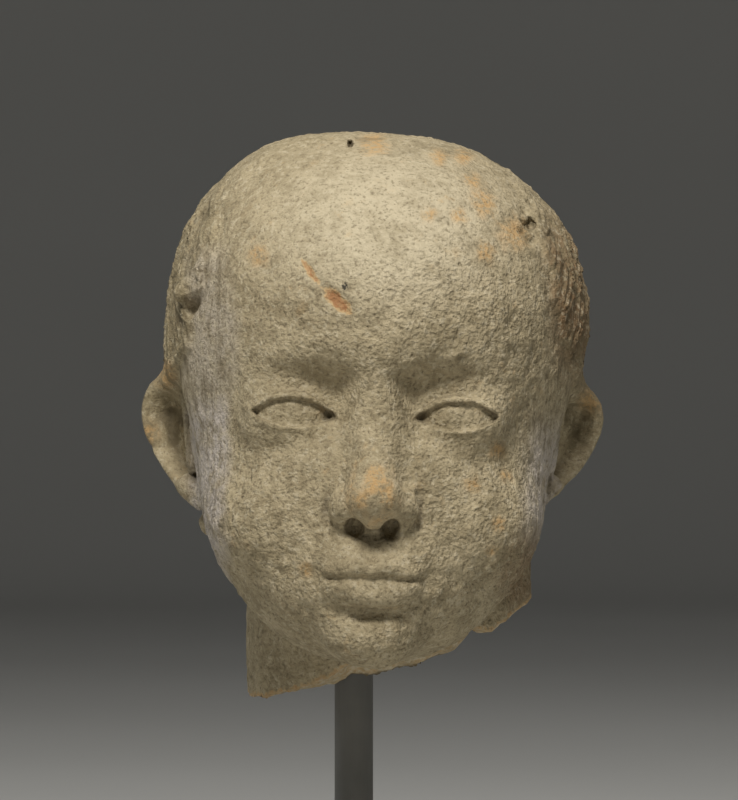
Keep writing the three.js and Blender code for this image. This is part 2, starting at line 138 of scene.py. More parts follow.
# Cranium, jaw, chin, cheeks and muzzle
def masses(x, y, z):
    ax = np.abs(x)
    d = egg(x, y, z, (0, 6, CRANIUM_Z), SKULL, 2.25)
    d = blend(d, ellipsoid(x, y, z, (-20, 8, 49), (39.6, 61, 39.6)), 8.0)
    d = carve(d, ellipsoid(x, y, z, (82, 0, 15), (15.8, 34, 18)), 8.0)
    d = carve(d, egg(ax, y, z, (84, -2, -7), (25.5, 27, 20), 4.0), 5.0)
    d = blend(d, ellipsoid(x, y, z, (0, -24, -26), (55.5, 53, 50)), 12.0)
    d = blend(d, ellipsoid(x, y, z, (0, -42, -52), (38.5, 36, 27)), 10.0)
    d = blend(d, ellipsoid(x, y, z, (0, -67, -69), (14, 12.8, 10.4)), 9.0)
    d = blend(d, ellipsoid(ax, y, z, (29, -48, -35), (22, 22, 18)), 9.0)
    return blend(d, ellipsoid(x, y, z, (0, -62.5, -48), (20, 18.5, 13.5)), 9.0)


def depth_of(x, z):
    """The plain surface's y at one place, seen from the front."""
    step = 0.25
    ys = np.arange(-110.0, 0.0, step)
    d = masses(np.full(len(ys), float(x)), ys, np.full(len(ys), float(z)))
    i = int(np.argmax(d < 0))
    return ys[i] - step * d[i] / (d[i] - d[i - 1])


def on(x, z, out):
    """A point that far in front of the plain surface."""
    return (x, depth_of(x, z) - out, z)


# Eye
EYE_X, EYE_Z = 26.0, -0.5
BALL_RADII = (14.6, 12.0, 12.6)
LID_RADII = (16.4, 13.6, 13.4)
BALL = (EYE_X, depth_of(EYE_X, EYE_Z) + BALL_RADII[1] - 0.2, EYE_Z)
SOCKET = (EYE_X - 1, depth_of(EYE_X, EYE_Z) - 7, EYE_Z + 3)
SOCKET_RADII = (19, 12, 11.5)
SOCKET_TILT = 0.2
HALF_EYE, LID_RISE, LID_FALL = 12.6, 4.8, 3.6
CORNER_TILT = 0.03
CREASE_HALF = HALF_EYE + 0.2


def arc_radius(half, rise):
    return (half**2 + rise**2) / (2 * rise)


def arc(u, half, rise):
    r = arc_radius(half, rise)
    return math.sqrt(max(r * r - u * u, 0)) - (r - rise)


def on_lid(u, v, out):
    q = max(0.05, 1 - (u / LID_RADII[0]) ** 2 - (v / LID_RADII[2]) ** 2)
    return (EYE_X + u, BALL[1] - LID_RADII[1] * math.sqrt(q) - out, EYE_Z + v + CORNER_TILT * u)


LID_STEPS = np.linspace(-1, 1, 17)


def lid_path(side, half, rise, widened, lift, out):
    """Points along an arc on the lid, over the eye with side 1 and under it with side -1."""
    path = []
    for t in LID_STEPS:
        path.append(on_lid(half * widened * t, side * arc(half * t, half, rise) + lift, out))
    return path


UPPER_RIM = lid_path(1, HALF_EYE, LID_RISE, 1.04, 0.5, -0.2)
LOWER_RIM = lid_path(-1, HALF_EYE, LID_FALL, 0.98, -0.3, -0.4)
CREASE = lid_path(1, CREASE_HALF, LID_RISE + 3.4, 1.0, 0.4, 0.5)
CREASE_SIZES = 0.3 + 0.7 * (1 - LID_STEPS**2)
UPPER_SIZES = 0.5 + 0.6 * (1 - LID_STEPS**2)
LOWER_SIZES = 0.4 + 0.6 * (1 - LID_STEPS**2)


def eye(d, x, y, z):
    d = carve(d, ellipsoid(x, y, z + SOCKET_TILT * (x - EYE_X), SOCKET, SOCKET_RADII), 9.0)
    d = blend(d, ellipsoid(x, y, z, BALL, LID_RADII), 4.5)
    d = carve(d, stroke(x, y, z, CREASE, CREASE_SIZES), 1.6)
    d = blend(d, stroke(x, y, z, UPPER_RIM, UPPER_SIZES), 1.2)
    d = blend(d, stroke(x, y, z, LOWER_RIM, LOWER_SIZES), 1.4)
    u = x - EYE_X
    v = z - EYE_Z - CORNER_TILT * u
    upper_arc = arc_radius(HALF_EYE, LID_RISE)
    lower_arc = arc_radius(HALF_EYE, LID_FALL)
    above = np.sqrt(u * u + (v - LID_RISE + upper_arc) ** 2) - upper_arc
    below = np.sqrt(u * u + (v + LID_FALL - lower_arc) ** 2) - lower_arc
    ball = ellipsoid(x, y, z, BALL, BALL_RADII)
    opening = -blend(-above, -below, 2.0) - 0.3 * np.maximum(ball, 0)
    pocket = np.maximum(np.maximum(opening, -ball - 0.45), y - BALL[1] + 2)
    d = carve(d, pocket, 0.8)
    return blend(d, np.maximum(ball, y - BALL[1] - 4), 0.4)


# Nose
NOSE_BASE = -36.0
BRIDGE = on(0, 3, -5)
TIP = on(0, NOSE_BASE + 9.5, 6.2)
WING = on(9, NOSE_BASE + 6.6, -1.6)
WING_GROOVE = (on(14.2, NOSE_BASE + 11.5, 0.6), on(14.4, NOSE_BASE + 2.5, 0.6))


def nose(d, x, y, z):
    ax = np.abs(x)
    d = blend(d, round_cone(x, y, z, BRIDGE, (0, TIP[1] + 2, TIP[2] + 4.5), 5.6, 6.6), 8.0)
    d = blend(d, ellipsoid(x, y, z, TIP, (8.2, 7.8, 6.8)), 5.5)
    d = blend(d, ellipsoid(ax, y, z, WING, (5.6, 8.2, 5.8)), 4.0)
    d = blend(d, ellipsoid(x, y, z, (0, TIP[1] + 3, NOSE_BASE + 3.2), (3, 6, 3.4)), 3.0)
    d = carve(d, round_cone(ax, y, z, WING_GROOVE[0], WING_GROOVE[1], 1.0, 1.2), 2.0)
    return carve(d, ellipsoid(ax, y, z, (5.4, TIP[1] + 4.6, NOSE_BASE + 1.2), (2.8, 4.4, 3.6)), 1.4)


# Mouth
MOUTH_Z, MOUTH_HALF = -50.7, 18.0
LIP_STEPS = np.linspace(-1, 1, 21)


def lip_path(rise, out, sag, wave):
    path = []
    for t in LIP_STEPS:
        bow = wave * math.sin(math.pi * min(1.0, 2.1 * abs(t))) * (1 - abs(t))
        height = MOUTH_Z + rise * (1 - t * t) + bow - sag * t * t
        path.append(on(MOUTH_HALF * t, height, out * (1 - 0.75 * t * t)))
    return path


UPPER_LIP = lip_path(3.0, -1.3, 0.2, 0.8)
LOWER_LIP = lip_path(-5.0, -2.1, 0.2, 0.0)
LIP_LINE = lip_path(-0.6, 1.3, 0.2, 0.8)
UPPER_LIP_SIZES = 0.3 + 3.0 * (1 - np.abs(LIP_STEPS) ** 1.8)
LOWER_LIP_SIZES = 0.3 + 4.0 * (1 - np.abs(LIP_STEPS) ** 2.2)
LINE_SIZES = 0.35 + 0.45 * (1 - LIP_STEPS**2)
CORNER = on(MOUTH_HALF + 1, MOUTH_Z - 0.8, 2)
LIP_GROOVE = (on(0, NOSE_BASE - 2, 1.6), on(0, MOUTH_Z + 6.6, 2.6))
CHIN_FOLD = on(0, -61.8, 4)


def mouth(d, x, y, z):
    d = blend(d, stroke(x, y, z, LOWER_LIP, LOWER_LIP_SIZES), 3.2)
    d = blend(d, stroke(x, y, z, UPPER_LIP, UPPER_LIP_SIZES), 2.8)
    d = carve(d, stroke(x, y, z, LIP_LINE, LINE_SIZES), 1.6)
    d = carve(d, ellipsoid(np.abs(x), y, z, CORNER, (2.4, 2.4, 3)), 4.0)
    return carve(d, round_cone(x, y, z, LIP_GROOVE[0], LIP_GROOVE[1], 1.8, 2.4), 2.5)


def face(d, x, y, z):
    d = carve(d, ellipsoid(x, y, z, CHIN_FOLD, (12, 5.2, 3.4)), 6.0)
    d = eye(d, np.abs(x), y, z)
    d = nose(d, x, y, z)
    return mouth(d, x, y, z)


# Hair: a thin cap with rows of overlapping comma-shaped locks laid out round the crown
HAIRLINE_Z = (-60, -30, -15, -4, 2, 10, 20, 45, 60, 75, 90)
HAIRLINE_Y = (36, 24, 12, 8, 2, -14, -34, -41, -34, -25, -19)
CROWN = Vector((6, 38, 66)).normalized()
CROWN_SIDE = (Vector((1, 0, 0)) - CROWN * CROWN.x).normalized()
CROWN_BACK = CROWN.cross(CROWN_SIDE)
HAIR_MIDDLE = (0, 6, 18)
HAIR_RADIUS, ROW_PITCH, LOCK_PITCH = 72.0, 17.0, 12.5
LOCK_LONG, LOCK_CURL = 31.0, 6.5
CAP_THICKNESS, LOCK_HEIGHT = 0.9, 1.9


def chance(a, b, c):
    s = np.sin(a * 12.9898 + b * 78.233 + c * 37.719) * 43758.5453
    return s - np.floor(s)


def lock_at(arc_length, turn, ring, row, column, count):
    """Height and strand groove of one lock, zero outside it."""
    home = np.mod(column, count)
    long = LOCK_LONG * (0.85 + 0.3 * chance(row, home, 1))
    t = (arc_length - row * ROW_PITCH - 5 * (chance(row, home, 2) - 0.5)) / long
    tc = np.clip(t, 0.001, 0.999)
    pitch = 2 * math.pi * ring / count
    across = (turn - column - 0.5 - 0.3 * (chance(row, home, 3) - 0.5)) * pitch
    lean = np.where(chance(row, home, 4) < 0.8, 1.0, -0.8)
    side = np.where(np.cos(2 * math.pi * (home + 0.5) / count) > 0, 1.0, -1.0)
    offset = across - side * lean * LOCK_CURL * (tc * tc - 0.2)
    half_wide = 0.62 * pitch * np.sqrt(np.minimum(1, tc / 0.2)) * (1 - tc**2.6) + 0.01
    q = offset / half_wide
    inside = (t > 0) & (t < 1) & (np.abs(q) < 1)
    body = (0.45 + 0.55 * tc) * np.sqrt(np.maximum(1 - q * q, 0))
    groove = np.cos(math.pi * (4 * q + 0.6 * chance(row, home, 5))) * (1 - 0.6 * q * q)
    return np.where(inside, body, 0.0), np.where(inside, groove, 0.0)


def locks(x, y, z):
    px, py, pz = x - HAIR_MIDDLE[0], (y - HAIR_MIDDLE[1]) * 0.8, z - HAIR_MIDDLE[2]
    far = distance(px, py, pz) + 1e-6
    along = (px * CROWN.x + py * CROWN.y + pz * CROWN.z) / far
    side = px * CROWN_SIDE.x + py * CROWN_SIDE.y + pz * CROWN_SIDE.z
    back = px * CROWN_BACK.x + py * CROWN_BACK.y + pz * CROWN_BACK.z
    angle = np.arccos(np.clip(along, -1, 1))
    phi = np.arctan2(back, side)
    arc_length = angle * HAIR_RADIUS
    top = np.floor(arc_length / ROW_PITCH)
    height = np.zeros_like(x)
    groove = np.zeros_like(x)
    ring = HAIR_RADIUS * np.maximum(0.05, np.sin(angle))
    for back_rows in (2, 1, 0):
        row = top - back_rows
        row_angle = np.clip((row * ROW_PITCH + LOCK_LONG / 2) / HAIR_RADIUS, 0.12, 1.9)
        count = np.maximum(5, np.round(2 * math.pi * HAIR_RADIUS * np.sin(row_angle) / LOCK_PITCH))
        turn = (phi / (2 * math.pi) + 0.5) * count + 0.5 * row
        for step in (-1, 0, 1):
            column = np.floor(turn) + step
            h, g = lock_at(arc_length, turn, ring, row, column, count)
            higher = h > height
            height = np.where(higher, h, height)
            groove = np.where(higher, g, groove)
    return height, groove


def hair_mask(x, y, z):
    wavy = 1.6 * np.sin(0.23 * x + 0.31 * z) + 1.1 * np.sin(0.41 * z - 0.2 * x)
    nape = smooth((z + 60 + 0.12 * np.abs(x) + wavy) / 8)
    edge = 3 + 7 * smooth((z - 50) / 30)
    return smooth((y - np.interp(z, HAIRLINE_Z, HAIRLINE_Y) - wavy) / edge + 0.5) * nape


def worn_top(y, z):
    return 1 - 0.75 * smooth((z - 58) / 22) * smooth((38 - y) / 30)


def hair_relief(x, y, z):
    height, groove = locks(x, y, z)
    strands = 0.55 * groove * (0.35 + 0.65 * height)
    return hair_mask(x, y, z) * (CAP_THICKNESS + worn_top(y, z) * (LOCK_HEIGHT * height + strands))


# Ears: one cupped sheet each, turned out from the side of the head. Each has its side, its share
# of the full height, the place where it meets the head, and how high its bowl lies.
EAR_LEAN, EAR_FLARE, EAR_THICK = math.radians(12), math.radians(50), 3.8
EARS = ((-1, 1.0, (56.3, -3.0, -10.0), -1.0), (1, 0.91, (54.4, -3.0, -8.3), -8.0))
STUB, STUB_RADII = (-52, 6, -37), (4.6, 7, 5)


def ear(x, y, z, side, tall, foot, dip):
    px, py, pz = side * x - foot[0], y - foot[1], (z - foot[2]) / tall
    out = math.cos(EAR_FLARE) * px + math.sin(EAR_FLARE) * py
    w = math.sin(EAR_FLARE) * px - math.cos(EAR_FLARE) * py
    u = math.cos(EAR_LEAN) * out - math.sin(EAR_LEAN) * pz
    v = math.sin(EAR_LEAN) * out + math.cos(EAR_LEAN) * pz
    square = np.abs((u - 11.5) / 14.5) ** 3.2 + np.abs(v / 25.5) ** 3.2
    taper = 0.819 * (u - 25.2) - 0.573 * (v - 2)
    outline = carve((square ** (1 / 3.2) - 1) * 14.5, -taper, 8.0)
    rim = np.clip((v + 18) / 10, 0, 1)
    bend = 0.012 * (u - 10) ** 2 - 3.0 * np.exp(-(((u - 8) / 5) ** 2) - ((v - dip) / 7) ** 2)
    front = bend + EAR_THICK / 2 - 6.5 * rim * smooth((-outline - 2.6) / 3)
    front += 1.2 * rim * np.exp(-(((outline + 1.6) / 1.4) ** 2))
    back = bend - EAR_THICK / 2 - 5.5 * rim * smooth((-outline - 0.8) / 4.5)
    half = EAR_THICK / 2
    a, b = outline + half, np.abs(w - (front + back) / 2) - (front - back) / 2
    b = b + half
    d = np.sqrt(np.maximum(a, 0) ** 2 + np.maximum(b, 0) ** 2) + np.minimum(np.maximum(a, b), 0)
    d = (d - half) * 0.6
    d = blend(d, ellipsoid(side * x, y, z, (54, 19, foot[2] - 1), (9.5, 11, 17 * tall)), 6.0)
    d = blend(d, round_cone(u, v, w, (5.0, 15, 0.5), (4.0, -7, 1.0), 1.8, 2.6), 2.0)
    d = blend(d, distance(u - 8.5, v + 12.5, w - 1) - 2.6, 4.0)
    return carve(d, distance(u - 8, v - dip, w + 6) - 3.2, 1.5)


# The whole outside, the neck, the hollow and the broken lower edge
LUMP = (on(-58.4, 44.4, 4.0), on(-61.6, 37.6, 5.2))
LUMP_FACET, LUMP_LEFT = (0.70, -0.35, -0.62), 2.0
WEDGE = (on(-55.6, 45.0, 2.6), on(-56.6, 37.5, 2.4), on(-60.4, 31.6, 2.6))
WEDGE_SIZES = (0.7, 1.9, 2.9)
PITS = (
    (on(48.6, 62.5, 0), (1.2, 1.6, 1.8)),
    (on(-10.4, 87.5, 0), (0.7, 5.5, 1.8)),
)
BREAK_X = (-50, -39.6, -15, -8, 0, 6.6, 14, 26, 31, 38, 51, 60)
BREAK_Z = (-95, -93.4, -88, -85.8, -87, -84.8, -82, -77, -70.5, -70.3, -61.7, -60)
FRONT_X = (-30, -12, 0, 20, 30, 34, 50)
FRONT_Z = (0, 4, 8, 7, 4, 0, 0)


def temple_lock(d, x, y, z):
    """A broken lock that stands out, flat on the side where it broke, with a groove beside it."""
    px, py, pz = x - LUMP[1][0], y - LUMP[1][1], z - LUMP[1][2]
    broken_side = LUMP_FACET[0] * px + LUMP_FACET[1] * py + LUMP_FACET[2] * pz - LUMP_LEFT
    lump = carve(round_cone(x, y, z, LUMP[0], LUMP[1], 1.8, 4.0), -broken_side, 0.8)
    return carve(blend(d, lump, 1.2), stroke(x, y, z, WEDGE, WEDGE_SIZES), 1.0)


def upright(x, z):
    return x * math.cos(TURN) - z * math.sin(TURN), x * math.sin(TURN) + z * math.cos(TURN)


def neck(x, y, z):
    back = NECK_Y - NECK_LEAN * (z + 60)
    d = (np.sqrt(((x - NECK_X) / NECK_HALF_X) ** 2 + ((y - back) / NECK_HALF_Y) ** 2) - 1) * NECK_HALF_Y
    return np.maximum(np.maximum(d, z - NECK_TOP), NECK_BOTTOM - z)


def hollow(x, y, z):
    d = egg(x, y, z, (0, 6, CRANIUM_Z), [r - WALL for r in SKULL], 2.1)
    d = blend(d, ellipsoid(x, y, z, (0, -20, -24), (43, 42, 34)), 20.0)
    qx = (x - NECK_X) / (NECK_HALF_X - WALL)
    qy = (y - NECK_Y) / (NECK_HALF_Y - WALL)
    tube = (np.sqrt(qx * qx + qy * qy) - 1) * (NECK_HALF_Y - WALL)
    return blend(d, np.maximum(tube, z - 10), 14.0)


def break_height(x, y):
    front = smooth((-5 - y) / 13) * np.interp(x, FRONT_X, FRONT_Z)
    back = np.clip((y - 5) / 40, 0, 1)
    lumps = 1.6 * np.sin(0.21 * x + 0.11 * y) * np.sin(0.16 * y + 0.9) + 0.9 * np.sin(0.47 * x - 0.33 * y)
    under_jaw = 1.6 * np.maximum(0, -27 - y)
    return np.interp(x, BREAK_X, BREAK_Z) + front + back * (3.5 + lumps) - under_jaw


def ragged_break(x, y, z):
    """Height of the broken lower edge, with the crumbs that the break left."""
    return break_height(x, y) + 0.9 * grain(x, y, z, 6.0, 3) + 0.5 * grain(x, y, z, 2.6, 4)


def with_hair(d, x, y, z):
    return d - hair_relief(x, y, z)


def with_ear(shape):
    return lambda d, x, y, z: blend(d, ear(x, y, z, *shape), 3.5)


def with_stub(d, x, y, z):
    return blend(d, ellipsoid(x, y, z, STUB, STUB_RADII), 3.0)


def with_pit(middle, radii):
    return lambda d, x, y, z: carve(d, ellipsoid(x, y, z, middle, radii), 1.6)


def outside(x, y, z):
    lx, lz = upright(x, z)
    d = masses(lx, y, lz)
    near_face = (d < 16) & (y < -48) & (np.abs(lx) < 56) & (lz < 24) & (lz > -80)
    d = where_near(d, near_face, face, lx, y, lz)
    d = blend(d, neck(x, y, z), 4.5 + 14 * smooth((y - 5) / 45))
    d = where_near(d, np.abs(d) < 8, with_hair, lx, y, lz)
    for shape in EARS:
        near_ear = (shape[0] * lx > 40) & (y > -32) & (y < 48) & (lz > -52) & (lz < 28)
        d = where_near(d, near_ear, with_ear(shape), lx, y, lz)
    near_stub = (lx < -40) & (lz < -20) & (lz > -50)
    d = where_near(d, near_stub, with_stub, lx, y, lz)
    near_lump = distance(lx - WEDGE[1][0], y - WEDGE[1][1], lz - WEDGE[1][2]) < 16
    d = where_near(d, near_lump, temple_lock, lx, y, lz)
    for middle, radii in PITS:
        near_pit = distance(lx - middle[0], y - middle[1], lz - middle[2]) < 14
        d = where_near(d, near_pit, with_pit(middle, radii), lx, y, lz)
    return d


def whole(x, y, z):
    d = np.maximum(outside(x, y, z), -hollow(x, y, z))
    return np.maximum(d, (ragged_break(x, y, z) - z) * 0.8)


# Repeatable noise in mm
def lattice(i, j, k, seed):
    n = (i * 73856093) ^ (j * 19349663) ^ (k * 83492791) ^ (seed * 668265263)
    n = (n & 0xFFFFFFFF).astype(np.uint32)
    n = (n ^ (n >> np.uint32(15))) * np.uint32(2246822519)
    n = (n ^ (n >> np.uint32(13))) * np.uint32(3266489917)
    n = n ^ (n >> np.uint32(16))
    return n.astype(np.float32) / np.float32(4294967295)


def grain(x, y, z, size, seed):
    """Smooth noise from -1 to 1 with bumps about that size."""
    cells, parts = [], []
    for c in (x, y, z):
        f = np.floor(c / size)
        t = c / size - f
        cells.append(f.astype(np.int64))
        parts.append(t * t * (3 - 2 * t))
    total = 0.0
    for a in (0, 1):
        for b in (0, 1):
            for c in (0, 1):
                wx = parts[0] if a else 1 - parts[0]
                wy = parts[1] if b else 1 - parts[1]
                wz = parts[2] if c else 1 - parts[2]
                total = total + wx * wy * wz * lattice(cells[0] + a, cells[1] + b, cells[2] + c, seed)
    return 2 * total - 1


def speckle(x, y, z, size, seed):
    """Distance in mm to the nearest scattered point, and that point's own chance value."""
    i, j, k = (np.floor(c / size).astype(np.int64) for c in (x, y, z))
    best = np.full(x.shape, 1e9, np.float32)
    value = np.zeros(x.shape, np.float32)
    for a in (-1, 0, 1):
        for b in (-1, 0, 1):
            for c in (-1, 0, 1):
                ci, cj, ck = i + a, j + b, k + c
                px = (ci + lattice(ci, cj, ck, seed)) * size
                py = (cj + lattice(ci, cj, ck, seed + 101)) * size
                pz = (ck + lattice(ci, cj, ck, seed + 202)) * size
                far = distance(x - px, y - py, z - pz).astype(np.float32)
                closer = far < best
                best = np.where(closer, far, best)
                value = np.where(closer, lattice(ci, cj, ck, seed + 303), value)
    return best, value


# Surface mesh from the field: one vertex per crossed cell, then pulled onto the surface
POINTS_AT_ONCE = 400000


def sampled(field_of, low, high, step, coarse, reach):
    """The field on a grid, worked out finely only within that reach of the surface."""
    low, high = np.array(low, float), np.array(high, float)
    count = np.ceil((high - low) / step).astype(int) + 1
    axes = [low[i] + step * np.arange(count[i]) for i in range(3)]
    skip = max(1, int(round(coarse / step)))
    wide = [low[i] + step * skip * np.arange(len(range(0, count[i], skip)) + 1) for i in range(3)]
    grids = [g.ravel().astype(np.float32) for g in np.meshgrid(*wide, indexing="ij")]
    rough = field_of(*grids).reshape([len(w) for w in wide])
    close = np.abs(rough) < reach

    def spread(values):
        out = np.repeat(np.repeat(np.repeat(values, skip, 0), skip, 1), skip, 2)
        return out[: count[0], : count[1], : count[2]]

    for axis in range(3):
        close = close | np.roll(close, 1, axis) | np.roll(close, -1, axis)
    field = spread(rough).astype(np.float32)
    i, j, k = np.nonzero(spread(close))
    values = np.empty(len(i), np.float32)
    for start in range(0, len(i), POINTS_AT_ONCE):
        part = slice(start, start + POINTS_AT_ONCE)
        points = [axes[a][idx[part]].astype(np.float32) for a, idx in enumerate((i, j, k))]
        values[part] = field_of(*points)
    field[i, j, k] = values
    return field, low


def cell_vertices(field, cells):
    total = np.zeros((len(cells[0]), 3))
    crossings = np.zeros(len(cells[0]))
    for corner in np.ndindex(2, 2, 2):
        for axis in range(3):
            if corner[axis]:
                continue
            other = list(corner)
            other[axis] = 1
            a = field[cells[0] + corner[0], cells[1] + corner[1], cells[2] + corner[2]].astype(float)
            b = field[cells[0] + other[0], cells[1] + other[1], cells[2] + other[2]].astype(float)
            crossed = (a < 0) != (b < 0)
            point = np.tile(np.array(corner, float), (len(a), 1))
            point[:, axis] += np.where(crossed, a / np.where(crossed, a - b, 1.0), 0.0)
            total += point * crossed[:, None]
            crossings += crossed
    return total / crossings[:, None] + np.stack(cells, 1)


def surface_nets(field, low, step):
    inside = field < 0
    size = np.array(field.shape)
    filled = np.zeros(size - 1, np.uint8)
    for a, b, c in np.ndindex(2, 2, 2):
        filled += inside[a : size[0] - 1 + a, b : size[1] - 1 + b, c : size[2] - 1 + c]
    active = (filled > 0) & (filled < 8)
    cells = np.nonzero(active)
    index = -np.ones(active.shape, np.int64)
    index[cells] = np.arange(len(cells[0]))
    vertices = low + step * cell_vertices(field, cells)
    faces = []
    for axis in range(3):
        a, b = (axis + 1) % 3, (axis + 2) % 3
        here, there = [slice(None)] * 3, [slice(None)] * 3
        here[axis], there[axis] = slice(0, -1), slice(1, None)
        first = inside[tuple(here)]
        edge = np.array(np.nonzero(first != inside[tuple(there)]))
        edge = edge[:, (edge[a] > 0) & (edge[b] > 0) & (edge[a] < size[a] - 1) & (edge[b] < size[b] - 1)]
        corners = []
        for da, db in ((1, 1), (0, 1), (0, 0), (1, 0)):
            cell = edge.copy()
            cell[a] -= da
            cell[b] -= db
            corners.append(index[cell[0], cell[1], cell[2]])
        quads = np.stack(corners, 1)
        turned = ~first[tuple(edge)]
        quads[turned] = quads[turned][:, ::-1]
        faces.append(quads)
    return vertices, np.concatenate(faces)


def slope(field_of, points, reach):
    x, y, z = columns(points)
    gx = field_of(x + reach, y, z) - field_of(x - reach, y, z)
    gy = field_of(x, y + reach, z) - field_of(x, y - reach, z)
    gz = field_of(x, y, z + reach) - field_of(x, y, z - reach)
    return np.stack([gx, gy, gz], 1) / (2 * reach)


def pulled(field_of, vertices, rounds):
    points = vertices.copy()
    for _ in range(rounds):
        d = field_of(*columns(points))
        g = slope(field_of, points, 0.15)
        steep = np.maximum((g * g).sum(1), 0.05)
        points -= (np.clip(d, -1, 1) / steep)[:, None] * g
    return points


# Marks in the head's upright frame: place, half length, half width, lean from upright, depth
CHIP = ((-12.9, 35.4), 7.0, 2.5, math.radians(48), 1.4)
SCRATCH = ((-21.6, 44.4), 6.4, 1.3, math.radians(36), 0.6)


def mark(x, y, z, shape):
    """1 inside a mark on the front of the head, 0 outside it."""
    place, half_long, half_wide, lean, _ = shape
    dx, dz = x - place[0], z - place[1]
    along = math.cos(lean) * dz - math.sin(lean) * dx
    across = math.sin(lean) * dz + math.cos(lean) * dx
    return oval(across, along, (0, 0), (half_wide, half_long), 1.35) * (y < 0)


def spot(x, y, z, place, radius):
    return oval(x, z, place, (radius, radius), 1.3) * (y < 0)


def roughness_of(x, y, z):
    """How grainy the skin is: most on the forehead's middle, cheeks and chin."""
    middle = oval(x, z, (12, 25), (50, 30), 1.3)
    cheeks = oval(np.abs(x), z, (34, -38), (27, 40), 1.25)
    chin = oval(x, z, (0, -68), (30, 16), 1.2)
    bald = 0.30 * oval(x, z, (-14, 68), (34, 26), 1.3)
    front = (y < 0) * 1.0
    ears = smooth((np.abs(x) - 59) / 4) * smooth((16 - z) / 6) * smooth((z + 44) / 6)
    return (0.60 + front * (0.40 * np.clip(middle + cheeks + chin, 0, 1) - bald)) * (1 - 0.6 * ears)


def slanted(x, y, z):
    """The same point in axes turned away from the grid, so that the grain shows no rows."""
    return 0.80 * x + 0.48 * y + 0.36 * z, -0.60 * x + 0.64 * y + 0.48 * z, -0.60 * y + 0.80 * z


def crumbled(x, z):
    """Where the crust has crumbled away beside the right hairline."""
    bend = 46.5 + 0.18 * (66 - z)
    return oval(x - bend, z, (0, 61), (4.2, 9.0), 1.3)


def weathering(x, y, z):
    """Height in mm added to the smooth form, and how deep each pit is."""
    lx, lz = upright(x, z)
    rough = roughness_of(lx, y, lz) * (1 + 0.25 * grain(x, y, z, 15.0, 18))
    hairy = hair_mask(lx, y, lz)
    hand = 0.35 * grain(x, y, z, 17.0, 11) + 0.2 * grain(x, y, z, 9.0, 12)
    wx, wy, wz = slanted(x, y, z)
    vx, vy, vz = slanted(wy, wz, wx)
    crust = smooth((grain(wx, wy, wz, 4.6, 13) + 0.6 * grain(vx, vy, vz, 2.3, 19)) / 0.5 + 0.5) - 0.5
    flaky = 0.34 * crust + 0.18 * grain(vx, vy, vz, 3.4, 20) + 0.30 * grain(wx, wy, wz, 2.1, 14)
    fine = 0.26 * grain(vx, vy, vz, 1.5, 15)
    lost = crumbled(lx, lz) * (y < 0) * smooth(0.4 + 1.3 * grain(wx, wy, wz, 3.0, 35))
    near, value = speckle(x, y, z, 4.2, 21)
    holes = smooth(1 - near / (0.5 + 1.1 * value)) * (value > 0.42) * 0.5
    near2, value2 = speckle(x, y, z, 2.1, 22)
    holes += smooth(1 - near2 / (0.3 + 0.5 * value2)) * (value2 > 0.35) * 0.28
    erosion = smooth((grain(x, y, z, 13.0, 16) + grain(x, y, z, 5.0, 17) - 0.35) / 0.5)
    pits = holes * (0.35 + 0.65 * rough) + 0.55 * hairy * erosion
    chip = mark(lx, y, lz, CHIP)
    scratch = mark(lx, y, lz, SCRATCH)
    gouges = CHIP[4] * chip + SCRATCH[4] * scratch + 1.5 * lost
    unscarred = 1 - 0.8 * np.clip(chip + scratch, 0, 1)
    height = hand + (flaky + fine) * rough * unscarred - pits * unscarred - gouges
    return height, np.maximum(pits, 0.55 * lost)


def soil_and_shade_of(x, y, z, gx, gy, gz):
    """How shut in a place is: 1 deep in a hollow, 0 in the open; it sets the soil and painted shade in
    hollows.
    """
    shut = 0.0
    for reach, weight in ((2.0, 0.3), (5.0, 0.4), (11.0, 0.3)):
        d = outside(x + gx * reach, y + gy * reach, z + gz * reach)
        shut = shut + weight * np.clip(1 - d / reach, 0, 1)
    return np.clip(shut, 0, 1)


# Small coloured places in the head's upright frame: x, z and radius
TAN_SPOTS = (
    (-37.9, 49.5, 3.4), (38.7, -9.9, 2.6), (41.3, -17.9, 2.2), (31.3, -21.4, 2.6), (40.3, -33.3, 2.4),
    (38.0, -41.6, 1.8), (33.0, 68.5, 4.0), (42.5, 58.6, 4.8), (24.7, 63.7, 2.4), (15.8, 63.7, 2.0),
    (33.3, 52.2, 3.2), (29.0, 75.3, 2.8), (26.6, 84.0, 3.2), (18.4, 83.0, 2.8), (-2.5, 87.5, 4.6),
    (-20.5, -49.0, 2.2),
)
EAR_RIM_SPOTS = ((-69.3, 11.2, 5.0), (-75.2, -8.6, 4.5), (71.6, 6.3, 5.0))


def in_a_pit(x, y, z):
    """1 inside the larger pits, 0 outside them."""
    dark = np.zeros_like(x)
    ragged = 0.7 * grain(x, y, z, 1.8, 36)
    for middle, radii in PITS:
        dark = np.maximum(dark, smooth(0.35 + ragged - ellipsoid(x, y, z, middle, radii)))
    return dark


def shade_between_locks(x, y, z):
    """How deep between the locks and strands a place lies, 0 on top of them, for painted shade there."""
    height, groove = locks(x, y, z)
    return np.clip(0.9 - 1.4 * height, 0, 1) * 0.6 + np.clip(-groove, 0, 1) * 0.4


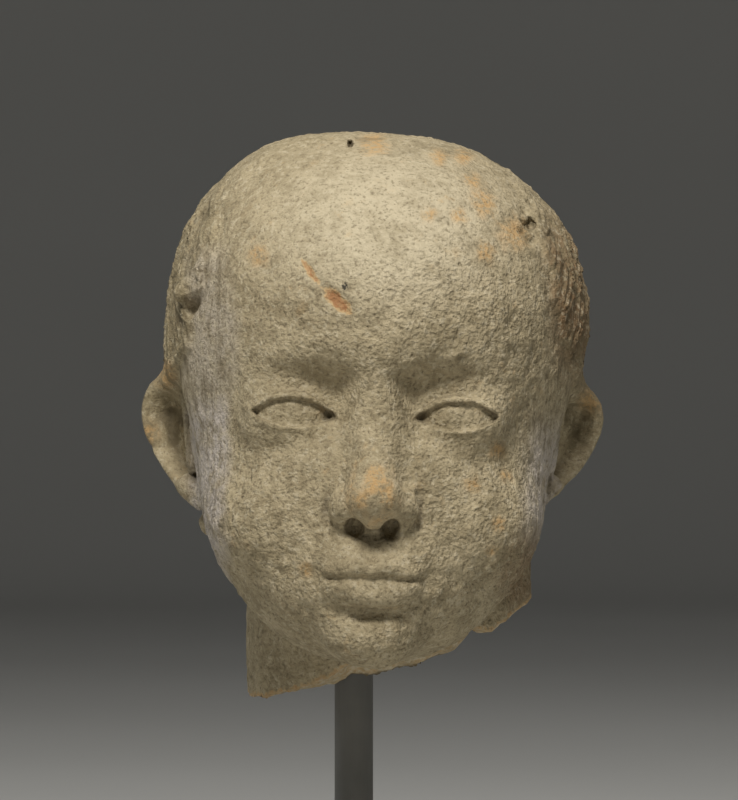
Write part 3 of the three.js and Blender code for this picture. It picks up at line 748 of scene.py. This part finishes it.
def tan_patches(x, y, z, lx, lz):
    """Warm patches on the cheeks, the hairline, the ear rims and the tip of the nose."""
    tan = np.zeros_like(x)
    ragged = 1.1 + 0.5 * grain(x, y, z, 2.6, 31)
    for px, pz, radius in TAN_SPOTS:
        tan = np.maximum(tan, spot(lx, y, lz, (px, pz), radius * ragged))
    for px, pz, radius in EAR_RIM_SPOTS:
        tan = np.maximum(tan, 0.9 * spot(lx, y - 20, lz, (px, pz), radius))
    nose_tip = smooth(1.4 - distance((lx - TIP[0]) / 9, (y - TIP[1] + 6) / 10, (lz - TIP[2] - 3) / 13))
    return np.maximum(tan, nose_tip * smooth(0.35 + 1.6 * grain(x, y, z, 4.5, 32)))


def violet_soil_and_side_light(x, y, z, lx, lz):
    """A wandering band before the left ear and a patch before the right one, seen from the front: partly a
    grey-violet deposit, partly painted side light.
    """
    wandering = 3.5 * grain(x, y, z, 14.0, 33) + 1.6 * grain(x, y, z, 5.0, 34)
    band = smooth(1.5 - np.abs(lx + 53.5 + wandering) / 7)
    stronger_below = 0.45 + 0.55 * smooth((8 - lz) / 12)
    left = band * stronger_below * smooth((lz + 66) / 14) * smooth((56 - lz) / 12)
    right = smooth((lx - 44) / 10) * smooth((6 - lz) / 20) * smooth((lz + 50) / 16)
    return np.maximum(left, right) * (y < 0)


def brown_stains_and_shade(y, lx, lz):
    """A brown stain at the right temple, and brown painted shade at the right jaw and under the broken
    lock.
    """
    temple = smooth(1.4 - np.abs(lx - 61 + 0.1 * (lz - 47)) / 8)
    temple = temple * smooth(1.3 - np.abs(lz - 40) / 28) * (y < 15)
    # Painted shade: the right jaw darkened in brown.
    jaw = oval(lx, lz, (50, -50), (10, 15), 1.4) * (y < 20)
    # Painted shade under the broken lock, on its shaded broken side.
    lump = smooth(1.3 - distance(lx - LUMP[1][0] - 1, y - LUMP[1][1], lz - LUMP[1][2] + 1) / 4.5)
    return np.maximum(temple, np.maximum(0.75 * jaw, 0.5 * lump))


def colour_masks(x, y, z, normals):
    """Strength of each clay colour at each point, by the name of its attribute."""
    lx, lz = upright(x, z)
    front = (y < 0) * 1.0
    from_hollow = hollow(x, y, z)
    skin = from_hollow > 4
    off_skin = outside(x, y, z)
    off_break = np.abs(z - ragged_break(x, y, z))
    fracture = smooth(1.8 - off_break / 1.1) * smooth((from_hollow - 0.6) / 0.8)
    fracture = fracture * smooth((0.2 - off_skin) / 0.8)
    broken_edge = smooth(1.5 - off_break / 1.6) * smooth(1.6 - np.abs(off_skin) / 1.4)
    orange = np.maximum(mark(lx, y, lz, CHIP), 0.8 * mark(lx, y, lz, SCRATCH))
    orange = np.maximum(orange, 0.6 * broken_edge)
    # Darkening in hollows and creases: partly soil, partly painted shade.
    soil_and_shade = soil_and_shade_of(x, y, z, *normals.T)
    hairy = hair_mask(lx, y, lz) * (1 - 0.8 * smooth((lz - 62) / 14) * smooth((25 - y) / 20))
    return {
        "hair": hairy * skin,
        # Painted shade between the locks and strands.
        "groove": hairy * worn_top(y, lz) * shade_between_locks(lx, y, lz) * skin,
        "pale": oval(lx, lz, (2, 60), (36, 28), 1.35) * front * skin,
        "orange": orange * (from_hollow > 2),
        "tan": tan_patches(x, y, z, lx, lz) * skin,
        "soil_and_shade": np.where(from_hollow > 2, soil_and_shade, 1.0) * (1 - fracture),
        # Pale grey-violet: partly a deposit, partly painted side light.
        "violet_and_side_light": violet_soil_and_side_light(x, y, z, lx, lz) * skin,
        "streak": smooth((np.abs(lx) - 42) / 12) * smooth((lz + 62) / 14) * front * skin,
        # A brown stain at the right temple, and brown painted shade at the right jaw and under the broken
        # lock.
        "brown_stain_and_shade": brown_stains_and_shade(y, lx, lz) * skin,
        # The broken face: fresh clay, painted paler as light on it.
        "fracture": fracture,
        # Darker in the pits: partly soil, partly painted shade in the holes.
        "pits": np.maximum(weathering(x, y, z)[1], in_a_pit(lx, y, lz)) * skin,
        "rough": roughness_of(lx, y, lz) * skin,
    }


# Head mesh in the row's frame, in metres. The grid's box and steps are in mm.
GRID_LOW, GRID_HIGH = (-84.0, -106.0, -98.0), (84.0, 98.0, 98.0)
STEP, COARSE_STEP, FINE_WITHIN = 0.75, 6.0, 9.0
TRIANGLES = 192000
HEAD_PLACE = np.array([-ROD_X, -ROD_Y, EYE_LINE])


def to_row(points):
    return (points + HEAD_PLACE) * MM


def outward(points):
    """The direction straight out of the surface at each point."""
    away = slope(whole, points, 0.6)
    return away / (np.linalg.norm(away, axis=1)[:, None] + 1e-6)


def mesh_of(name, points, faces):
    mesh = bpy.data.meshes.new(name)
    mesh.vertices.add(len(points))
    mesh.vertices.foreach_set("co", points.astype(np.float32).ravel())
    mesh.loops.add(faces.size)
    mesh.loops.foreach_set("vertex_index", faces.astype(np.int32).ravel())
    mesh.polygons.add(len(faces))
    mesh.polygons.foreach_set("loop_start", np.arange(0, faces.size, faces.shape[1], dtype=np.int32))
    mesh.update(calc_edges=True)
    mesh.validate()
    piece = bpy.data.objects.new(name, mesh)
    bpy.context.scene.collection.objects.link(piece)
    return piece


def applied(piece):
    """Leaves the piece's mesh as its modifiers make it."""
    graph = bpy.context.evaluated_depsgraph_get()
    mesh = bpy.data.meshes.new_from_object(piece.evaluated_get(graph))
    piece.modifiers.clear()
    piece.data = mesh


def read_points(mesh):
    values = np.empty(len(mesh.vertices) * 3, np.float32)
    mesh.vertices.foreach_get("co", values)
    return values.reshape(-1, 3)


def store_masks(mesh):
    """Keeps each colour mask on the mesh for the clay to read."""
    points = read_points(mesh) / MM - HEAD_PLACE
    away = outward(points).astype(np.float32)
    for name, values in colour_masks(*columns(points), away).items():
        layer = mesh.attributes.new(name, "FLOAT", "POINT")
        layer.data.foreach_set("value", np.clip(values, 0, 1).astype(np.float32))


def build_head():
    field, corner = sampled(whole, GRID_LOW, GRID_HIGH, STEP, COARSE_STEP, FINE_WITHIN)
    vertices, faces = surface_nets(field, corner, STEP)
    vertices = pulled(whole, vertices, 2)
    away = outward(vertices)
    x, y, z = columns(vertices)
    skin = smooth((hollow(x, y, z) - 5) / 4)
    height, _ = weathering(x, y, z)
    inner = 0.35 * grain(x, y, z, 14.0, 41) + 0.2 * grain(x, y, z, 5.0, 42)
    vertices += away * (height * skin + inner * (1 - skin))[:, None]
    piece = mesh_of("head_clay", to_row(vertices), faces)
    thin = piece.modifiers.new("thin", "DECIMATE")
    thin.ratio = TRIANGLES / (2.0 * len(faces))
    thin.use_collapse_triangulate = True
    applied(piece)
    piece.data.shade_smooth()
    store_masks(piece.data)
    return piece


# Materials
class Nodes:
    """Short calls for laying out one material's node tree."""

    def __init__(self, name):
        self.material = bpy.data.materials.new(name)
        self.material.use_nodes = True
        self.tree = self.material.node_tree
        self.shader = self.tree.nodes["Principled BSDF"]
        self.place = self.new("ShaderNodeTexCoord").outputs["Object"]

    def new(self, kind, **settings):
        node = self.tree.nodes.new(kind)
        for key, value in settings.items():
            setattr(node, key, value)
        return node

    def feed(self, socket, value):
        if isinstance(value, bpy.types.NodeSocket):
            self.tree.links.new(value, socket)
        else:
            socket.default_value = value

    def noise(self, size_mm, detail=3.0, rough=0.55, stretch=None):
        place = self.place
        if stretch:
            mapping = self.new("ShaderNodeMapping")
            self.feed(mapping.inputs["Vector"], self.place)
            mapping.inputs["Scale"].default_value = stretch
            place = mapping.outputs["Vector"]
        node = self.new("ShaderNodeTexNoise")
        self.feed(node.inputs["Vector"], place)
        node.inputs["Scale"].default_value = 1000.0 / size_mm
        node.inputs["Detail"].default_value = detail
        node.inputs["Roughness"].default_value = rough
        return node.outputs["Fac"]

    def away_from(self, place):
        """Distance in metres from one place on the object."""
        node = self.new("ShaderNodeVectorMath", operation="DISTANCE")
        self.feed(node.inputs[0], self.place)
        node.inputs[1].default_value = place
        return node.outputs["Value"]

    def mask(self, name):
        return self.new("ShaderNodeAttribute", attribute_name=name).outputs["Fac"]

    def math(self, operation, a, b):
        node = self.new("ShaderNodeMath", operation=operation)
        self.feed(node.inputs[0], a)
        self.feed(node.inputs[1], b)
        return node.outputs["Value"]

    def times(self, a, b):
        return self.math("MULTIPLY", a, b)

    def ramp(self, value, low, high, to_low=0.0, to_high=1.0):
        node = self.new("ShaderNodeMapRange", interpolation_type="SMOOTHSTEP")
        self.feed(node.inputs["Value"], value)
        node.inputs["From Min"].default_value = low
        node.inputs["From Max"].default_value = high
        node.inputs["To Min"].default_value = to_low
        node.inputs["To Max"].default_value = to_high
        return node.outputs["Result"]

    def mix(self, share, a, b):
        node = self.new("ShaderNodeMix", data_type="RGBA", blend_type="MIX", clamp_factor=True)
        self.feed(node.inputs["Factor"], share)
        self.feed(node.inputs["A"], a)
        self.feed(node.inputs["B"], b)
        return node.outputs["Result"]

    def bump(self, height, deep_mm, strength=1.0, after=None):
        node = self.new("ShaderNodeBump")
        node.inputs["Strength"].default_value = strength
        node.inputs["Distance"].default_value = deep_mm * MM
        self.feed(node.inputs["Height"], height)
        if after is not None:
            self.feed(node.inputs["Normal"], after)
        return node.outputs["Normal"]


LIGHT_CLAY = (0.485, 0.404, 0.258, 1)
MID_CLAY = (0.350, 0.287, 0.176, 1)
DARK_CLAY = (0.170, 0.136, 0.080, 1)
OLIVE_CLAY = (0.290, 0.240, 0.142, 1)
PALE_DUST = (0.650, 0.572, 0.410, 1)
ORANGE_CLAY = (0.410, 0.198, 0.085, 1)
OCHRE_CLAY = (0.560, 0.390, 0.200, 1)
TAN_CLAY = (0.560, 0.350, 0.150, 1)
VIOLET_SOIL_AND_SIDE_LIGHT = (0.600, 0.543, 0.497, 1)
BROWN_STAIN_AND_SHADE = (0.200, 0.120, 0.058, 1)
SOIL_AND_SHADE = (0.070, 0.055, 0.034, 1)
PIT_SHADOW_BLACK = (0.020, 0.021, 0.022, 1)

# Stains, and painted light and shade, that break up with the patches: mask, patch range, shares at its two
# ends, colour
STAINS_AND_PAINTED_SHADING = (
    ("pale", 0.30, 0.55, 0.25, 0.60, PALE_DUST),
    ("hair", 0.35, 0.60, 0.75, 0.45, OLIVE_CLAY),
    ("violet_and_side_light", 0.34, 0.58, 0.25, 0.85, VIOLET_SOIL_AND_SIDE_LIGHT),
    ("brown_stain_and_shade", 0.34, 0.54, 0.15, 0.90, BROWN_STAIN_AND_SHADE),
)


def tilted_back(place):
    """A place in the head's upright frame, in metres where the tilted head stands."""
    x = place[0] * math.cos(TURN) + place[2] * math.sin(TURN)
    z = place[2] * math.cos(TURN) - place[0] * math.sin(TURN)
    return to_row(np.array([x, place[1], z]))


# Painted shadow: a black dot for the dark inside of one small pit.
PIT_SHADOW_PLACE = tilted_back(on(-10.6, 39.9, 0.0))


def clay():
    n = Nodes("terracotta_clay")
    broad = n.noise(40.0, 3.0)
    patches = n.noise(9.0, 6.0, 0.68)
    grit = n.noise(2.4, 6.0, 0.72)
    sand = n.noise(1.1, 2.0, 0.55)
    dust = n.noise(0.6, 2.0, 0.6)
    colour = n.mix(n.ramp(patches, 0.36, 0.60), MID_CLAY, LIGHT_CLAY)
    colour = n.mix(n.ramp(broad, 0.45, 0.75, 0.0, 0.4), colour, MID_CLAY)
    for name, low, high, share_low, share_high, patch_colour in STAINS_AND_PAINTED_SHADING:
        share = n.times(n.mask(name), n.ramp(patches, low, high, share_low, share_high))
        colour = n.mix(share, colour, patch_colour)
    colour = n.mix(n.ramp(grit, 0.50, 0.64, 0.0, 0.50), colour, PALE_DUST)
    colour = n.mix(n.ramp(grit, 0.48, 0.33, 0.0, 0.42), colour, DARK_CLAY)
    colour = n.mix(n.ramp(sand, 0.47, 0.28, 0.0, 0.62), colour, DARK_CLAY)
    # Painted shade between the locks and strands, in dark clay.
    colour = n.mix(n.ramp(n.mask("groove"), 0.15, 0.75, 0.0, 0.85), colour, DARK_CLAY)
    streaks = n.ramp(n.noise(2.2, 4.0, 0.6, (1.0, 0.6, 0.16)), 0.50, 0.36)
    colour = n.mix(n.times(n.times(streaks, n.mask("streak")), 0.55), colour, DARK_CLAY)
    ochre = n.times(n.ramp(n.noise(6.0, 5.0, 0.65), 0.58, 0.68), n.ramp(broad, 0.45, 0.62))
    colour = n.mix(n.times(ochre, 0.35), colour, OCHRE_CLAY)
    colour = n.mix(n.times(n.mask("tan"), n.ramp(grit, 0.42, 0.56, 0.12, 0.80)), colour, TAN_CLAY)
    ragged = n.math("ADD", n.mask("orange"), n.ramp(n.noise(2.0, 4.0, 0.65), 0.3, 0.7, -0.2, 0.2))
    bare = n.ramp(ragged, 0.30, 0.62, 0.0, 0.9)
    colour = n.mix(bare, colour, n.mix(n.ramp(ragged, 0.55, 0.95), OCHRE_CLAY, ORANGE_CLAY))
    # Fresh broken clay, painted paler as light on this downward-facing break.
    broken_and_painted_light = n.times(n.mask("fracture"), n.ramp(patches, 0.35, 0.60, 0.25, 0.8))
    colour = n.mix(broken_and_painted_light, colour, n.mix(n.ramp(grit, 0.40, 0.60), OCHRE_CLAY, PALE_DUST))
    # Soil and painted shade darken the hollows and creases.
    soil_and_shade = n.times(n.ramp(n.mask("soil_and_shade"), 0.26, 0.95), n.ramp(patches, 0.30, 0.58, 0.5, 1.0))
    colour = n.mix(n.times(soil_and_shade, 0.70), colour, SOIL_AND_SHADE)
    # Darker in the pits: partly soil, partly painted shade in the holes.
    colour = n.mix(n.ramp(n.mask("pits"), 0.10, 0.6, 0.0, 0.55), colour, DARK_CLAY)
    colour = n.mix(n.ramp(n.mask("pits"), 0.60, 0.95, 0.0, 0.85), colour, SOIL_AND_SHADE)
    # Painted shadow of a small pit, as a black dot.
    pit_shadow = n.math("ADD", n.away_from(PIT_SHADOW_PLACE), n.ramp(dust, 0.3, 0.7, -0.4 * MM, 0.4 * MM))
    colour = n.mix(n.ramp(pit_shadow, 1.3 * MM, 0.7 * MM, 0.0, 0.85), colour, PIT_SHADOW_BLACK)
    n.feed(n.shader.inputs["Base Color"], colour)
    n.feed(n.shader.inputs["Roughness"], n.ramp(grit, 0.35, 0.65, 0.80, 0.97))
    n.shader.inputs["Specular IOR Level"].default_value = 0.2
    grainy = n.ramp(n.mask("rough"), 0.3, 1.0, 0.35, 1.0)
    coarse = n.bump(n.times(n.noise(2.2, 1.0, 0.5), grainy), 0.8)
    medium = n.bump(n.times(sand, grainy), 0.75, 1.0, coarse)
    fine = n.bump(dust, 0.3, 1.0, medium)
    n.feed(n.shader.inputs["Normal"], fine)
    return n.material


ROD_GREY, ROD_WORN = (0.160, 0.157, 0.142, 1), (0.195, 0.190, 0.172, 1)
FOOT_GREY, FOOT_WORN = (0.070, 0.069, 0.064, 1), (0.090, 0.088, 0.080, 1)
SCUFF_GREY = (0.160, 0.160, 0.155, 1)


def painted_metal(name, colour, worn):
    n = Nodes(name)
    brushed = n.noise(0.9, 4.0, 0.6, (1.0, 1.0, 0.06))
    cloud = n.noise(24.0, 4.0)
    paint = n.mix(n.ramp(cloud, 0.35, 0.70), colour, worn)
    paint = n.mix(n.ramp(n.noise(1.2, 3.0), 0.66, 0.76, 0.0, 0.35), paint, SCUFF_GREY)
    n.feed(n.shader.inputs["Base Color"], paint)
    n.feed(n.shader.inputs["Roughness"], n.ramp(brushed, 0.3, 0.7, 0.42, 0.58))
    n.shader.inputs["Metallic"].default_value = 0.35
    height = n.math("ADD", n.times(brushed, 0.5), n.noise(0.5, 2.0))
    n.feed(n.shader.inputs["Normal"], n.bump(height, 0.05, 0.5))
    return n.material


# Rod and foot, in mm
ROD_RADIUS, ROD_SIDES, ROD_STRETCHES = 6.35, 72, 24
ROD_TOP_EDGE, ROD_EASE, ROD_FOOT_EDGE = 0.8, 0.25, 0.3
PLATE_HALF, PLATE_HIGH, PLATE_ROUND, PLATE_CORNER = 70.0, 10.0, 1.5, 2.0


def turned(name, profile, sides):
    """A piece turned round the upright axis. The profile gives radius and height in metres."""
    mesh = bmesh.new()
    rings = []
    for radius, height in profile:
        turns = [2 * math.pi * i / sides for i in range(sides if radius else 1)]
        rings.append([mesh.verts.new((radius * math.cos(t), radius * math.sin(t), height)) for t in turns])
    for below, above in zip(rings, rings[1:]):
        for i in range(sides):
            j = (i + 1) % sides
            corners = [below[i % len(below)], below[j % len(below)]]
            corners += [above[j % len(above)], above[i % len(above)]]
            mesh.faces.new(list(dict.fromkeys(corners)))
    return finished(name, mesh)


def build_rod():
    low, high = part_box("rod")
    bottom, top = low[2] / MM, high[2] / MM
    profile = [(0.0, bottom), (ROD_RADIUS - ROD_FOOT_EDGE, bottom), (ROD_RADIUS, bottom + ROD_FOOT_EDGE)]
    for step in range(1, ROD_STRETCHES):
        profile.append((ROD_RADIUS, bottom + (top - bottom) * step / ROD_STRETCHES))
    profile += [(ROD_RADIUS, top - ROD_TOP_EDGE), (ROD_RADIUS - ROD_EASE, top - ROD_EASE)]
    profile += [(ROD_RADIUS - ROD_TOP_EDGE, top), (0.0, top)]
    return turned("rod_round_bar", [(radius * MM, height * MM) for radius, height in profile], ROD_SIDES)


def build_plate():
    mesh = bmesh.new()
    bmesh.ops.create_cube(mesh, size=1.0)
    size = Vector((2 * PLATE_HALF, 2 * PLATE_HALF, PLATE_HIGH)) * MM
    for vert in mesh.verts:
        vert.co = Vector((vert.co.x * size.x, vert.co.y * size.y, (vert.co.z + 0.5) * size.z))
    upright_edges = [e for e in mesh.edges if abs(e.verts[0].co.z - e.verts[1].co.z) > 0.001]
    corner = PLATE_CORNER * MM
    bmesh.ops.bevel(mesh, geom=upright_edges, offset=corner, segments=5, profile=0.5, affect="EDGES")
    rims = [e for e in mesh.edges if abs(e.verts[0].co.z - e.verts[1].co.z) < 1e-6]
    bmesh.ops.bevel(mesh, geom=rims, offset=PLATE_ROUND * MM, segments=4, profile=0.5, affect="EDGES")
    return finished("base_plate_slab", mesh)


def finished(name, mesh):
    bmesh.ops.recalc_face_normals(mesh, faces=mesh.faces)
    data = bpy.data.meshes.new(name)
    mesh.to_mesh(data)
    mesh.free()
    piece = bpy.data.objects.new(name, data)
    bpy.context.scene.collection.objects.link(piece)
    data.shade_smooth()
    data.set_sharp_from_angle(angle=math.radians(32))
    return piece


# Round floor that curves up into a far wall all round, lights and camera, in metres
FLOOR_REACH, WALL_BEND, WALL_TOP = 3.0, 1.0, 4.0
STAGE_SIDES, BEND_STEPS = 96, 16
PAPER_GREY, PAPER_LIGHT = (0.56, 0.56, 0.54, 1), (0.60, 0.60, 0.58, 1)
SKY_COLOUR, SKY_STRENGTH = (0.95, 0.97, 1.0, 1), 0.05
LIT_POINT = (0.005, -0.02, 0.19)


def build_stage():
    profile = [(0.0, 0.0), (0.6, 0.0), (1.6, 0.0), (FLOOR_REACH, 0.0)]
    for i in range(1, BEND_STEPS + 1):
        turn = math.pi / 2 * i / BEND_STEPS
        profile.append((FLOOR_REACH + WALL_BEND * math.sin(turn), WALL_BEND * (1 - math.cos(turn))))
    profile.append((FLOOR_REACH + WALL_BEND, WALL_TOP))
    floor = turned("studio_floor", profile, STAGE_SIDES)
    n = Nodes("studio_paper")
    paper = n.mix(n.ramp(n.noise(900.0, 2.0), 0.3, 0.7), PAPER_GREY, PAPER_LIGHT)
    n.feed(n.shader.inputs["Base Color"], paper)
    n.shader.inputs["Roughness"].default_value = 0.95
    floor.data.materials.append(n.material)


def lamp(name, place, target, size, power, colour):
    data = bpy.data.lights.new(name, "AREA")
    data.shape = "DISK"
    data.size = size
    data.energy = power
    data.color = colour
    light = bpy.data.objects.new(name, data)
    light.location = place
    light.rotation_euler = (Vector(target) - Vector(place)).to_track_quat("-Z", "Y").to_euler()
    bpy.context.scene.collection.objects.link(light)


def build_lights():
    lamp("key", (-0.155, -0.90, 1.27), LIT_POINT, 0.35, 16.4, (1.0, 0.97, 0.92))
    lamp("fill", (0.42, -0.19, 1.50), LIT_POINT, 0.5, 5.2, (1.0, 0.98, 0.95))
    lamp("rim", (-1.15, 0.45, 0.55), LIT_POINT, 0.5, 1.6, (0.96, 0.98, 1.0))
    world = bpy.data.worlds.new("studio")
    world.use_nodes = True
    sky = world.node_tree.nodes["Background"]
    sky.inputs["Color"].default_value = SKY_COLOUR
    sky.inputs["Strength"].default_value = SKY_STRENGTH
    bpy.context.scene.world = world
    bpy.context.scene.view_settings.view_transform = "Standard"


CAMERA_FAR = 1.6
VIEW_MIDDLE = Vector((0.005, 0.0, 0.1916))
VIEW_HIGH = 0.264


def build_camera():
    data = bpy.data.cameras.new("camera")
    data.sensor_width = 36.0
    data.lens = data.sensor_width * CAMERA_FAR / VIEW_HIGH
    camera = bpy.data.objects.new("camera", data)
    camera.location = VIEW_MIDDLE - Vector((0, CAMERA_FAR, 0))
    camera.rotation_euler = (math.pi / 2, 0, 0)
    bpy.context.scene.collection.objects.link(camera)
    bpy.context.scene.camera = camera


def dress(piece, node, material):
    piece.data.materials.clear()
    piece.data.materials.append(material)
    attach(piece, "root")
    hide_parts(node)


build_camera()
build_stage()
build_lights()
dress(build_rod(), "rod", painted_metal("rod_paint", ROD_GREY, ROD_WORN))
dress(build_plate(), "base_plate", painted_metal("foot_paint", FOOT_GREY, FOOT_WORN))
dress(build_head(), "head", clay())
